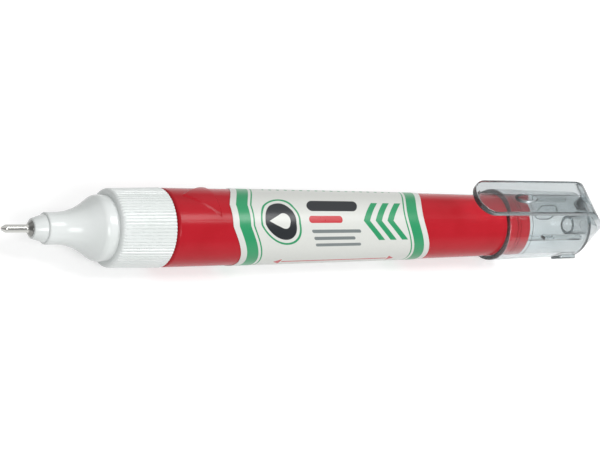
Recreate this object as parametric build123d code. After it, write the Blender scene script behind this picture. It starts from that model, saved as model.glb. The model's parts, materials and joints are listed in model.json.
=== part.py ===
"""Correction pen: squeezable barrel, ribbed collar, nozzle with a sprung ball valve, clear cap with a clip.

Millimetres. The pen lies along X with its tip towards -X, its cap pushed on the tail and the clip up, +Z.
Pieces are drawn along the pen's own axis, with X counted from the front of the tip's ball, and moved at
the end so that the origin is under the middle of the pen, on the surface that it lies on.
"""

import math
import os

from build123d import *

# Tip: ball, metal tube and rod
BALL_D = 0.55
BALL_REACH = 0.18
BALL_CLEARANCE = 0.04
RIM_CLEARANCE = 0.015
TUBE_D = 1.6
TUBE_BORE_D = 1.0
NOSE_D = 0.7
NOSE_LENGTH = 0.8
METAL_REACH = 6.35
FLARE_D = 3.2
FLARE_LENGTH = 0.95
FLARE_ROUND = 0.3
SHANK_D = 2.6
SHANK_LENGTH = 4.6
CHAMBER_LENGTH = 1.0
ROD_D = 0.42
ROD_GAP = 0.01
ROD_HEAD_D = 2.2
ROD_HEAD_LENGTH = 0.7
ROD_HEAD_GAP = 0.4
ROD_TAIL_LENGTH = 1.5

# Valve spring and its seat
SPRING_LENGTH = 5.4
SPRING_MEAN_D = 1.6
SPRING_WIRE_D = 0.26
SPRING_WIRE_SIDES = 8
SPRING_TURNS = 7
SPRING_END_GAP = 0.03
SEAT_THICKNESS = 1.0
SEAT_HOLE_D = 1.0
SEAT_PORT_D = 0.7
SEAT_PORT_CIRCLE_D = 2.1
SEAT_PORTS = 4

# Tip holder
HOLDER_FRONT_D = 4.0
HOLDER_CONE_D = 5.6
HOLDER_CONE_LENGTH = 2.65
HOLDER_EDGE = 0.25
SPIGOT_D = 4.6
SPRING_BORE_D = 3.2

# Nozzle
NECK_D = 6.4
NECK_EDGE = 0.35
NECK_LENGTH = 5.9
NECK_BORE_LENGTH = 5.0
TRUMPET_ANGLE = 35.0
TRUMPET_RADIUS = 9.8
LIP_STEP = 0.45
LIP_FRONT_ROUND = 1.9
LIP_REAR_ROUND = 0.45
LIP_LENGTH = 2.2
LIP_GAP = 0.25
WAIST_DEPTH = 0.5
NOZZLE_FLANGE_LENGTH = 1.2
PLUG_WALL = 0.9
PLUG_LENGTH = 4.5

# Gasket and collar
GASKET_THICKNESS = 0.6
COLLAR_FRONT_SKIRT = 0.85
COLLAR_REAR_SKIRT = 1.08
COLLAR_LENGTH = 12.15
COLLAR_WALL = 1.5
COLLAR_EDGE = 0.6
COLLAR_GAP = 0.35
COLLAR_HOLE_CLEARANCE = 0.1
RIB_COUNT = 72
RIB_DEPTH = 0.22
RIB_GROOVE_SHARE = 0.8
RIB_FRONT_MARGIN = 0.35

# Barrel
BARREL_FRONT_D = 16.2
BARREL_TAIL_D = 13.9
BARREL_BULGE = 0.15
BARREL_LENGTH = 95.45
BARREL_WALL = 0.95
SHOULDER_EDGE = 0.7
SHOULDER_WALL = 1.8
NECK_STEP = 1.0
NECK_WALL = 1.58
TAIL_WALL = 1.2
TAIL_EDGE = 0.5
TAIL_GROOVE_FROM_END = 3.2
TAIL_GROOVE_PITCH = 0.9
TAIL_GROOVE_WIDTH = 0.35
TAIL_GROOVE_DEPTH = 0.12
TAIL_GROOVES = 2

# Raised arrow on the barrel, turned from straight up towards the far side
ARROW_FROM_SHOULDER = 2.5
ARROW_LENGTH = 7.9
ARROW_WIDTH = 10.5
ARROW_HEIGHT = 0.3
ARROW_TURN = 21.0

# Label film with wavy ends
LABEL_FROM_SHOULDER = 14.85
LABEL_LENGTH = 50.0
LABEL_WAVE = 2.0
LABEL_WAVE_TURN = 15.0
LABEL_FILM = 0.09
LABEL_GAP = 0.02

# Mixing ball, loose in the barrel
MIXING_BALL_D = 6.0
MIXING_BALL_FROM_SHOULDER = 40.0
MIXING_BALL_GAP = 0.12

# Cap
CAP_OVERLAP = 7.4
CAP_LENGTH = 37.1
CAP_DRAFT = 0.55
CAP_MOUTH_EDGE = 0.35
CAP_SHOULDER_ROUND = 1.2
CAP_CONE_LENGTH = 10.9
CAP_NOSE_D = 1.4
CAP_NOSE_ROUND = 0.5
CAP_CLEARANCE = 0.08
CAP_WALL = 0.95
SEAL_TUBE_D = 4.7
SEAL_TUBE_BORE_D = 3.2
SEAL_TUBE_FROM_APEX = 11.9
SEAL_TUBE_DEPTH = 6.1
FOOT_TURN = 120.0
FOOT_LENGTH = 6.4
FOOT_WIDTH = 4.2
FOOT_HEIGHT = 0.6
FOOT_FROM_CONE = 2.2
FOOT_EDGE = 0.4

# Clip, one moulding with the cap
CLIP_LIFT = 4.1
CLIP_THICKNESS = 1.5
CLIP_WIDTH = 9.0
CLIP_OVERHANG = 11.6
CLIP_EDGE = 0.35
CLIP_END_ROUND = 0.98
CLIP_NOSE_WIDTH = 3.2
CLIP_RISE = 0.2
CLIP_SETBACK = 1.2
CLIP_FOLD_FROM_CONE = 3.2
CLIP_FOLD_ROUND = 7.0
WEB_THICKNESS = 2.4
WEB_LENGTH = 1.6
NUB_FROM_MOUTH = 0.3
NUB_LENGTH = 7.0
NUB_D = 2.6
NUB_SINK = 0.1

# Press fits between fixed pieces, and the most of a short edge that a rounding takes
FIT_CLEARANCE = 0.02
ROUND_SHARE = 0.9

# Diameters that follow the barrel's front: neck, nozzle and collar
NECK_RING_D = BARREL_FRONT_D - 2 * NECK_STEP
NECK_BORE_D = NECK_RING_D - 2 * NECK_WALL
PLUG_D = NECK_BORE_D - 2 * FIT_CLEARANCE
LIP_D = NECK_RING_D - 2 * LIP_STEP
COLLAR_FRONT_D = NECK_RING_D + 2 * COLLAR_FRONT_SKIRT
COLLAR_REAR_D = NECK_RING_D + 2 * COLLAR_REAR_SKIRT

# Stations along the axis, from the front of the ball
HOLDER_X = METAL_REACH
SHANK_END_X = HOLDER_X + SHANK_LENGTH
ROD_HEAD_X = SHANK_END_X + ROD_HEAD_GAP
SPRING_X = ROD_HEAD_X + ROD_HEAD_LENGTH
SEAT_X = SPRING_X + SPRING_LENGTH
HOLDER_END_X = SEAT_X + SEAT_THICKNESS
NOZZLE_X = HOLDER_X + HOLDER_CONE_LENGTH
TRUMPET_X = NOZZLE_X + NECK_LENGTH
LIP_X = TRUMPET_X + (LIP_D - NECK_D) / 2 / math.tan(math.radians(TRUMPET_ANGLE))
LIP_END_X = LIP_X + LIP_LENGTH
COLLAR_X = LIP_END_X + LIP_GAP
NOZZLE_FLANGE_X = COLLAR_X + COLLAR_WALL
GASKET_X = NOZZLE_FLANGE_X + NOZZLE_FLANGE_LENGTH
NECK_RING_X = GASKET_X + GASKET_THICKNESS
COLLAR_END_X = COLLAR_X + COLLAR_LENGTH
BARREL_X = COLLAR_END_X + COLLAR_GAP
TAIL_X = BARREL_X + BARREL_LENGTH
MOUTH_X = TAIL_X - CAP_OVERLAP
APEX_X = MOUTH_X + CAP_LENGTH
CAP_CONE_X = APEX_X - CAP_CONE_LENGTH


def turned(*corners):
    """Revolve a closed outline about the pen's axis; a corner is (along, radius) or (along, radius, rounding)."""
    points = [corner[:2] for corner in corners]
    rounding = [corner[2] if len(corner) > 2 else 0 for corner in corners]
    outline = FilletPolyline(*points, radius=rounding, close=True)
    return revolve(Plane.XZ * make_face(outline), axis=Axis.X)


def barrel_radius(x):
    """Outer radius of the barrel at a station, a straight taper with a slight swell."""
    u = (x - BARREL_X) / BARREL_LENGTH
    taper = BARREL_FRONT_D + (BARREL_TAIL_D - BARREL_FRONT_D) * u
    return taper / 2 + 4 * BARREL_BULGE * u * (1 - u)


def cavity_radius(x):
    """Inner radius of the barrel at a station, a straight cone."""
    u = (x - BARREL_X) / BARREL_LENGTH
    return (BARREL_FRONT_D + (BARREL_TAIL_D - BARREL_FRONT_D) * u) / 2 - BARREL_WALL


# Diameters that follow the barrel's tail: cap and clip
CAP_BORE_R = barrel_radius(MOUTH_X) + CAP_CLEARANCE
CAP_MOUTH_D = 2 * (CAP_BORE_R + CAP_WALL)
CAP_SHOULDER_D = CAP_MOUTH_D - 2 * CAP_DRAFT
CAP_SLOPE = (CAP_SHOULDER_D - CAP_NOSE_D) / 2 / CAP_CONE_LENGTH
CLIP_HEIGHT = CAP_MOUTH_D / 2 + CLIP_LIFT
AXIS_HEIGHT = max(COLLAR_REAR_D, CAP_MOUTH_D) / 2


def barrel_band(x0, x1, under, over):
    """Ring on the barrel between two stations, from one height over its surface to another."""
    middle = (x0 + x1) / 2
    inner = [(x, barrel_radius(x) + under) for x in (x0, middle, x1)]
    outer = [(x, barrel_radius(x) + over) for x in (x0, middle, x1)]
    outline = Curve() + [
        ThreePointArc(*inner),
        Line(inner[2], outer[2]),
        ThreePointArc(*outer),
        Line(outer[0], inner[0]),
    ]
    return revolve(Plane.XZ * make_face(outline), axis=Axis.X)


def turned_from_up(angle):
    """Turn about the pen's axis from straight up, positive towards the far side, +Y."""
    return Rotation(-angle, 0, 0)


def make_tip_ball():
    return Pos(BALL_D / 2, 0, 0) * Sphere(BALL_D / 2)


def make_metal_tip():
    """Turned tube with a swaged rim that keeps the ball in, a flared root and a shank."""
    ball_r = BALL_D / 2
    rim_r = math.sqrt(ball_r**2 - (ball_r - BALL_REACH) ** 2) + RIM_CLEARANCE
    chamber_r = ball_r + BALL_CLEARANCE
    return turned(
        (BALL_REACH, rim_r),
        (BALL_REACH, NOSE_D / 2),
        (BALL_REACH + NOSE_LENGTH, TUBE_D / 2),
        (HOLDER_X - FLARE_LENGTH, TUBE_D / 2, FLARE_ROUND),
        (HOLDER_X, FLARE_D / 2),
        (HOLDER_X, SHANK_D / 2),
        (SHANK_END_X, SHANK_D / 2),
        (SHANK_END_X, TUBE_BORE_D / 2),
        (BALL_D + CHAMBER_LENGTH, TUBE_BORE_D / 2),
        (BALL_D + CHAMBER_LENGTH, chamber_r),
        (ball_r, chamber_r),
    )


def make_push_rod():
    """Rod behind the ball, with a head that the spring pushes on and a tail that centres the spring."""
    return turned(
        (BALL_D + ROD_GAP, 0),
        (BALL_D + ROD_GAP, ROD_D / 2),
        (ROD_HEAD_X, ROD_D / 2),
        (ROD_HEAD_X, ROD_HEAD_D / 2),
        (SPRING_X, ROD_HEAD_D / 2),
        (SPRING_X, ROD_D / 2),
        (SPRING_X + ROD_TAIL_LENGTH, ROD_D / 2),
        (SPRING_X + ROD_TAIL_LENGTH, 0),
    )


def coil_point(turn, start, pitch):
    """Point and direction of the spring's centre line after a number of turns."""
    angle = 2 * math.pi * turn
    radius = SPRING_MEAN_D / 2
    point = Vector(start + pitch * turn, radius * math.cos(angle), radius * math.sin(angle))
    along = Vector(pitch / (2 * math.pi), -radius * math.sin(angle), radius * math.cos(angle))
    return point, along.normalized()


def make_valve_spring():
    """Coil spring: one many-sided wire swept along two tangent arcs for each half turn."""
    start = SPRING_X + SPRING_WIRE_D / 2 + SPRING_END_GAP
    end = SEAT_X - SPRING_WIRE_D / 2 - SPRING_END_GAP
    pitch = (end - start) / SPRING_TURNS
    print("valve spring gap between turns", round(pitch - SPRING_WIRE_D, 3))
    arcs = []
    for half in range(2 * SPRING_TURNS):
        p0, t0 = coil_point(half / 2, start, pitch)
        p1, t1 = coil_point((half + 1) / 2, start, pitch)
        chord = p1 - p0
        lean = chord.dot(t0 + t1)
        turn = 2 * (1 - t0.dot(t1))
        reach = (math.sqrt(lean**2 + turn * chord.dot(chord)) - lean) / turn
        knee0 = p0 + t0 * reach
        knee1 = p1 - t1 * reach
        middle = (knee0 + knee1) * 0.5
        arcs.append(Edge.make_tangent_arc(p0, t0, middle))
        arcs.append(Edge.make_tangent_arc(middle, knee1 - knee0, p1))
    first, along = coil_point(0, start, pitch)
    wire_section = Plane(origin=first, z_dir=along) * RegularPolygon(SPRING_WIRE_D / 2, SPRING_WIRE_SIDES)
    return sweep(wire_section, path=Wire(arcs))


def make_spring_seat():
    """Holed disc pressed into the holder's rear end; the fluid passes its ports."""
    seat = turned(
        (SEAT_X, SEAT_HOLE_D / 2),
        (SEAT_X, SPRING_BORE_D / 2 - FIT_CLEARANCE),
        (HOLDER_END_X, SPRING_BORE_D / 2 - FIT_CLEARANCE),
        (HOLDER_END_X, SEAT_HOLE_D / 2),
    )
    port = Cylinder(SEAT_PORT_D / 2, 2 * SEAT_THICKNESS)
    middle = Plane(origin=((SEAT_X + HOLDER_END_X) / 2, 0, 0), z_dir=(1, 0, 0))
    ports = middle * PolarLocations(SEAT_PORT_CIRCLE_D / 2, SEAT_PORTS) * port
    return seat - ports


def make_tip_holder():
    """Tapered bush that grips the metal tip and plugs into the nozzle's neck."""
    return turned(
        (HOLDER_X, SHANK_D / 2 + FIT_CLEARANCE),
        (HOLDER_X, HOLDER_FRONT_D / 2, HOLDER_EDGE),
        (NOZZLE_X, HOLDER_CONE_D / 2),
        (NOZZLE_X, SPIGOT_D / 2),
        (HOLDER_END_X, SPIGOT_D / 2),
        (HOLDER_END_X, SPRING_BORE_D / 2),
        (SHANK_END_X, SPRING_BORE_D / 2),
        (SHANK_END_X, SHANK_D / 2 + FIT_CLEARANCE),
    )


def make_nozzle():
    """Trumpet-shaped nozzle: neck, flare, round lip, trapped flange and a plug in the barrel's neck."""
    bore_r = SPIGOT_D / 2 + FIT_CLEARANCE
    waist_r = LIP_D / 2 - WAIST_DEPTH
    flange_r = NECK_RING_D / 2
    plug_bore_r = PLUG_D / 2 - PLUG_WALL
    turn = math.radians(TRUMPET_ANGLE)
    slant = (LIP_D - NECK_D) / 2 / math.sin(turn)
    flare_round = min(TRUMPET_RADIUS, ROUND_SHARE * slant / math.tan(turn / 2) - LIP_FRONT_ROUND)
    return turned(
        (NOZZLE_X, bore_r),
        (NOZZLE_X, NECK_D / 2, NECK_EDGE),
        (TRUMPET_X, NECK_D / 2, flare_round),
        (LIP_X, LIP_D / 2, LIP_FRONT_ROUND),
        (LIP_END_X, LIP_D / 2, min(LIP_REAR_ROUND, ROUND_SHARE * WAIST_DEPTH)),
        (LIP_END_X, waist_r),
        (NOZZLE_FLANGE_X, waist_r),
        (NOZZLE_FLANGE_X, flange_r),
        (GASKET_X, flange_r),
        (GASKET_X, PLUG_D / 2),
        (GASKET_X + PLUG_LENGTH, PLUG_D / 2),
        (GASKET_X + PLUG_LENGTH, plug_bore_r),
        (LIP_END_X, plug_bore_r),
        (NOZZLE_X + NECK_BORE_LENGTH, bore_r),
    )


def make_nozzle_gasket():
    return turned(
        (GASKET_X, PLUG_D / 2 + FIT_CLEARANCE),
        (GASKET_X, NECK_RING_D / 2),
        (NECK_RING_X, NECK_RING_D / 2),
        (NECK_RING_X, PLUG_D / 2 + FIT_CLEARANCE),
    )


def make_collar():
    """Ring nut with fine lengthwise ribs, holding the nozzle's flange on the barrel's neck."""
    hole_r = LIP_D / 2 + COLLAR_HOLE_CLEARANCE
    skirt_r = NECK_RING_D / 2 + FIT_CLEARANCE
    front_r = COLLAR_FRONT_D / 2
    rear_r = COLLAR_REAR_D / 2
    ring = turned(
        (COLLAR_X, hole_r),
        (COLLAR_X, front_r, COLLAR_EDGE),
        (COLLAR_END_X, rear_r),
        (COLLAR_END_X, skirt_r),
        (NOZZLE_FLANGE_X, skirt_r),
        (NOZZLE_FLANGE_X, hole_r),
    )
    taper = (rear_r - front_r) / COLLAR_LENGTH
    groove_x = COLLAR_X + RIB_FRONT_MARGIN
    groove_r = front_r + taper * RIB_FRONT_MARGIN
    half_width = math.pi * groove_r / RIB_COUNT * RIB_GROOVE_SHARE
    section = Polyline(
        (groove_x, 0, groove_r - RIB_DEPTH),
        (groove_x, half_width, groove_r + RIB_DEPTH / 2),
        (groove_x, -half_width, groove_r + RIB_DEPTH / 2),
        close=True,
    )
    groove = extrude(make_face(section), amount=COLLAR_LENGTH, dir=(1, 0, taper))
    grooves = [Rotation(360 / RIB_COUNT * i, 0, 0) * groove for i in range(RIB_COUNT)]
    return ring - grooves


def make_barrel():
    """Squeezable tube with a neck for the collar, a closed tail and the raised arrow."""
    neck_r = NECK_RING_D / 2
    cavity_x = BARREL_X + SHOULDER_WALL
    cavity_end_x = TAIL_X - TAIL_WALL
    middle = (BARREL_X + TAIL_X) / 2
    outer = [(x, barrel_radius(x)) for x in (BARREL_X, middle, TAIL_X)]
    outline = Curve() + [
        Line((TAIL_X, 0), (cavity_end_x, 0)),
        Polyline(
            (cavity_end_x, 0),
            (cavity_end_x, cavity_radius(cavity_end_x)),
            (cavity_x, cavity_radius(cavity_x)),
            (cavity_x, NECK_BORE_D / 2),
            (NECK_RING_X, NECK_BORE_D / 2),
            (NECK_RING_X, neck_r),
            (BARREL_X, neck_r),
            (BARREL_X, outer[0][1]),
        ),
        ThreePointArc(*outer),
        Line((TAIL_X, outer[2][1]), (TAIL_X, 0)),
    ]
    section = make_face(outline)
    section = fillet(section.vertices().sort_by_distance((*outer[0], 0))[0], SHOULDER_EDGE)
    section = fillet(section.vertices().sort_by_distance((*outer[2], 0))[0], TAIL_EDGE)
    body = revolve(Plane.XZ * section, axis=Axis.X)
    for i in range(TAIL_GROOVES):
        groove_x = TAIL_X - TAIL_GROOVE_FROM_END - TAIL_GROOVE_PITCH * i
        body -= barrel_band(groove_x - TAIL_GROOVE_WIDTH, groove_x, -TAIL_GROOVE_DEPTH, TAIL_GROOVE_DEPTH)
    return body + make_arrow()


def make_arrow():
    """Raised triangle that points to the tip, following the barrel's round surface."""
    tip_x = BARREL_X + ARROW_FROM_SHOULDER
    base_x = tip_x + ARROW_LENGTH
    band = barrel_band(tip_x, base_x, -BARREL_WALL / 2, ARROW_HEIGHT)
    triangle = Polyline((tip_x, 0), (base_x, ARROW_WIDTH / 2), (base_x, -ARROW_WIDTH / 2), close=True)
    prism = extrude(make_face(triangle), amount=BARREL_FRONT_D)
    return band & (turned_from_up(ARROW_TURN) * prism)


def make_label():
    """Film round the barrel whose two ends follow the same two-lobed wave."""
    x0 = BARREL_X + LABEL_FROM_SHOULDER
    x1 = x0 + LABEL_LENGTH
    film = barrel_band(x0 - 2 * LABEL_WAVE, x1 + 2 * LABEL_WAVE, LABEL_GAP, LABEL_GAP + LABEL_FILM)

    def wave(x):
        half = barrel_radius(x)
        crest = x + LABEL_WAVE
        trough = x - LABEL_WAVE
        return [(trough, half), (crest, 0), (trough, -half)]

    reach = BARREL_FRONT_D
    front, rear = wave(x0), wave(x1)
    outline = Curve() + [
        ThreePointArc(*front),
        Polyline(front[2], (front[2][0], -reach), (rear[2][0], -reach), rear[2]),
        ThreePointArc(*rear),
        Polyline(rear[0], (rear[0][0], reach), (front[0][0], reach), front[0]),
    ]
    window = extrude(Plane.XZ * make_face(outline), amount=reach, both=True)
    return film & (turned_from_up(-LABEL_WAVE_TURN) * window)


def make_mixing_ball():
    """Loose steel ball lying on the barrel's lower inner wall."""
    x = BARREL_X + MIXING_BALL_FROM_SHOULDER
    drop = cavity_radius(x) - MIXING_BALL_D / 2 - MIXING_BALL_GAP
    return Pos(x, 0, -drop) * Sphere(MIXING_BALL_D / 2)


def make_cap_shell():
    """Clear cup: drafted bore over the barrel's tail, cone end and inner seal tube."""
    deep_r = CAP_SHOULDER_D / 2 - CAP_WALL
    inner_apex_x = APEX_X - CAP_WALL * math.sqrt(1 + CAP_SLOPE**2) / CAP_SLOPE
    inner_cone_x = inner_apex_x - (deep_r - CAP_NOSE_D / 2) / CAP_SLOPE
    shell = turned(
        (MOUTH_X, CAP_BORE_R),
        (MOUTH_X, CAP_MOUTH_D / 2, CAP_MOUTH_EDGE),
        (CAP_CONE_X, CAP_SHOULDER_D / 2, CAP_SHOULDER_ROUND),
        (APEX_X, CAP_NOSE_D / 2, CAP_NOSE_ROUND),
        (APEX_X, 0),
        (inner_apex_x, 0),
        (inner_apex_x, CAP_NOSE_D / 2),
        (inner_cone_x, deep_r, CAP_SHOULDER_ROUND),
    )
    tube_x = APEX_X - SEAL_TUBE_FROM_APEX
    tube = turned(
        (tube_x, 0),
        (tube_x, SEAL_TUBE_D / 2),
        (APEX_X - SEAL_TUBE_D / 2 / CAP_SLOPE, SEAL_TUBE_D / 2),
        (APEX_X - CAP_WALL, 0),
    )
    bore = turned(
        (tube_x, 0),
        (tube_x, SEAL_TUBE_BORE_D / 2),
        (tube_x + SEAL_TUBE_DEPTH, SEAL_TUBE_BORE_D / 2),
        (tube_x + SEAL_TUBE_DEPTH, 0),
    )
    return shell + tube - bore


def cap_envelope():
    """Solid of the cap's outside, used to keep clip and feet out of the hollow."""
    return turned(
        (MOUTH_X, 0),
        (MOUTH_X, CAP_MOUTH_D / 2 - CAP_WALL / 2),
        (CAP_CONE_X, CAP_SHOULDER_D / 2 - CAP_WALL / 2),
        (APEX_X - CAP_WALL / 2, CAP_NOSE_D / 2),
        (APEX_X - CAP_WALL / 2, 0),
    )


def make_clip():
    """Flat clip plate with a round free end, bent down along the cap's cone, with a web at its root and a nub."""
    free_x = MOUTH_X - CLIP_OVERHANG
    end_x = APEX_X - CLIP_SETBACK
    under = CLIP_HEIGHT - CLIP_THICKNESS
    end_z = CAP_NOSE_D / 2 + CLIP_SETBACK * CAP_SLOPE + CLIP_RISE
    fold_x = CAP_CONE_X - CLIP_FOLD_FROM_CONE
    slope = (CLIP_HEIGHT - end_z) / (end_x - fold_x)
    slope_thickness = CLIP_THICKNESS * math.sqrt(1 + slope**2)
    inner_fold_x = end_x - (under - end_z + slope_thickness) / slope
    side = FilletPolyline(
        (free_x, under),
        (free_x, CLIP_HEIGHT),
        (fold_x, CLIP_HEIGHT),
        (end_x, end_z),
        (end_x, end_z - slope_thickness),
        (inner_fold_x, under),
        radius=[0, 0, CLIP_FOLD_ROUND, 0, 0, CLIP_FOLD_ROUND - CLIP_THICKNESS],
        close=True,
    )
    band = extrude(Plane.XZ * make_face(side), amount=CLIP_WIDTH, both=True)
    half = CLIP_WIDTH / 2
    nose = CLIP_NOSE_WIDTH / 2
    plan = FilletPolyline(
        (free_x, half),
        (CAP_CONE_X, half),
        (end_x + CLIP_SETBACK / 2, nose),
        (end_x + CLIP_SETBACK / 2, -nose),
        (CAP_CONE_X, -half),
        (free_x, -half),
        radius=[half * CLIP_END_ROUND, 0, 0, 0, 0, half * CLIP_END_ROUND],
        close=True,
    )
    plate = band & extrude(make_face(plan), amount=CLIP_HEIGHT)
    top_faces = plate.faces().filter_by(lambda face: face.normal_at().Z > 0.5)
    rim = top_faces.edges().filter_by(lambda edge: abs(edge.tangent_at(0.5).X) > 0.05)
    plate = fillet(rim, CLIP_EDGE)
    web_x = fold_x - WEB_LENGTH
    web_side = Polyline((web_x, 0), (web_x, under), (fold_x, under), (CAP_CONE_X, 0), close=True)
    web = extrude(Plane.XZ * make_face(web_side), amount=WEB_THICKNESS / 2, both=True)
    return plate + web + make_clip_nub()


def make_clip_nub():
    """Oval nub under the clip that holds a pocket's edge."""
    under = CLIP_HEIGHT - CLIP_THICKNESS
    section = Ellipse(NUB_LENGTH / 2, NUB_D / 2) & Pos(0, NUB_D / 4) * Rectangle(NUB_LENGTH, NUB_D / 2)
    oval = revolve(Plane.XZ * section, axis=Axis.X)
    return Pos(MOUTH_X + NUB_FROM_MOUTH + NUB_LENGTH / 2, 0, under + NUB_SINK) * oval


def make_foot():
    """Low rounded pad on the cap's shoulder."""
    x = CAP_CONE_X - FOOT_FROM_CONE
    outline = Pos(x, 0, 0) * SlotOverall(FOOT_LENGTH, FOOT_WIDTH)
    top = CAP_SHOULDER_D / 2 + FOOT_HEIGHT
    pad = extrude(outline, amount=top)
    return fillet(pad.faces().sort_by(Axis.Z)[-1].edges(), FOOT_EDGE)


def make_cap():
    """Cap, clip and feet as one clear moulding."""
    outside = make_clip()
    for turn in (-FOOT_TURN, FOOT_TURN):
        outside += turned_from_up(turn) * make_foot()
    return make_cap_shell() + (outside - cap_envelope())


PIECES = {
    "tip_ball": make_tip_ball,
    "metal_tip": make_metal_tip,
    "push_rod": make_push_rod,
    "valve_spring": make_valve_spring,
    "spring_seat": make_spring_seat,
    "tip_holder": make_tip_holder,
    "nozzle": make_nozzle,
    "nozzle_gasket": make_nozzle_gasket,
    "collar": make_collar,
    "barrel": make_barrel,
    "label": make_label,
    "mixing_ball": make_mixing_ball,
    "cap": make_cap,
}

os.makedirs("parts", exist_ok=True)
place = Pos(-APEX_X / 2, 0, AXIS_HEIGHT)
for name, make in PIECES.items():
    piece = make()
    solids = piece.solids()
    shape = solids[0] if len(solids) == 1 else Compound(children=solids)
    export_step(place * shape, f"parts/{name}.step")
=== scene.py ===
"""Looks of a correction pen: red barrel with a printed film, white ribbed collar and nozzle, clear cap.

Pieces are modelled in millimetres about the pen's axis and then placed in the frame, in metres. A station is
a place along the frame's X. An angle is counted about the axis from straight up towards the near side, -Y.
"""

import json
import logging
import math
from dataclasses import dataclass
from enum import Enum
from typing import Any, ClassVar, Sequence

import bmesh
import bpy
from bmesh.types import BMesh
from bpy.types import Material, Object
from mathutils import Matrix, Vector

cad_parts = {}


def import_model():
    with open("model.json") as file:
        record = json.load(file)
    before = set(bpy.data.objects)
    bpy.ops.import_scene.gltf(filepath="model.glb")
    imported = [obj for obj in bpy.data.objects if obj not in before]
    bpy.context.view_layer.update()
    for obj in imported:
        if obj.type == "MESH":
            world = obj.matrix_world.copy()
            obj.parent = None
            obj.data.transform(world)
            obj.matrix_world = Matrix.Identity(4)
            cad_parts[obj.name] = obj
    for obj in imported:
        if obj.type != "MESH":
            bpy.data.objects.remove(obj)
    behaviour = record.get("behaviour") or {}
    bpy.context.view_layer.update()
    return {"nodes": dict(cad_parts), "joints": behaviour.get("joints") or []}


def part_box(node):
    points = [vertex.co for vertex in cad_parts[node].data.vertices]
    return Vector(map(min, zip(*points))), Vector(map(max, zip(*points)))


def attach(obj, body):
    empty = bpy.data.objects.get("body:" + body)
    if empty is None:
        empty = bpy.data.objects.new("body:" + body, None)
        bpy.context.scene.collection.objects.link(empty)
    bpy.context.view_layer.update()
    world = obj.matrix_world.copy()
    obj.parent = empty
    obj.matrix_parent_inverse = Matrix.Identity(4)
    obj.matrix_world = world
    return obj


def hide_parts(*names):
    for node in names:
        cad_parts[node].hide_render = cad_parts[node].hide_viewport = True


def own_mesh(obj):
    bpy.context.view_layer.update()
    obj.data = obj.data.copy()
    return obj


LOG = logging.getLogger("correction_pen")
MM = 0.001
Colour = tuple[float, float, float]
Triple = tuple[float, float, float]
Span = tuple[float, float]
FULL: Colour = (1.0, 1.0, 1.0)


def srgb(red: int, green: int, blue: int) -> Colour:
    """Linear colour of an 8-bit screen colour."""

    def linear(value: int) -> float:
        """Linear share of one channel."""
        share = value / 255
        return share / 12.92 if share <= 0.04045 else ((share + 0.055) / 1.055) ** 2.4

    return linear(red), linear(green), linear(blue)


def darker(colour: Colour, share: float) -> Colour:
    """Colour of which only a share is left."""
    red, green, blue = colour
    return red * share, green * share, blue * share


def put(name: str, data: bpy.types.ID) -> Object:
    """Make an object of its data and link it to the scene."""
    made = bpy.data.objects.new(name, data)
    bpy.context.scene.collection.objects.link(made)
    return made


class Wire:
    """An output socket that takes part in Python expressions, each of which adds a Math node."""

    def __init__(self, tree: "ShaderTree", socket: bpy.types.NodeSocket) -> None:
        """Keep the socket and the tree that it belongs to."""
        self.tree = tree
        self.socket = socket

    def maths(self, operation: str, *operands: "Wire | float") -> "Wire":
        """Add one Math node.

        Args:
            operation: the Math node's operation.
            operands: its inputs in order.

        Returns:
            The node's output.
        """
        return self.tree.node("ShaderNodeMath", {"operation": operation}, dict(enumerate(operands)))

    def __add__(self, other: "Wire | float") -> "Wire":
        """Sum."""
        return self.maths("ADD", self, other)

    __radd__ = __add__

    def __sub__(self, other: "Wire | float") -> "Wire":
        """Difference."""
        return self.maths("SUBTRACT", self, other)

    def __rsub__(self, other: float) -> "Wire":
        """Difference from a number."""
        return self.maths("SUBTRACT", other, self)

    def __mul__(self, other: "Wire | float") -> "Wire":
        """Product."""
        return self.maths("MULTIPLY", self, other)

    def __pow__(self, other: float) -> "Wire":
        """Power."""
        return self.maths("POWER", self, other)

    def __abs__(self) -> "Wire":
        """Size without sign."""
        return self.maths("ABSOLUTE", self)

    def __and__(self, other: "Wire | float") -> "Wire":
        """Smaller of two values."""
        return self.maths("MINIMUM", self, other)

    def __or__(self, other: "Wire | float") -> "Wire":
        """Larger of two values."""
        return self.maths("MAXIMUM", self, other)

    __ror__ = __or__


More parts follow.
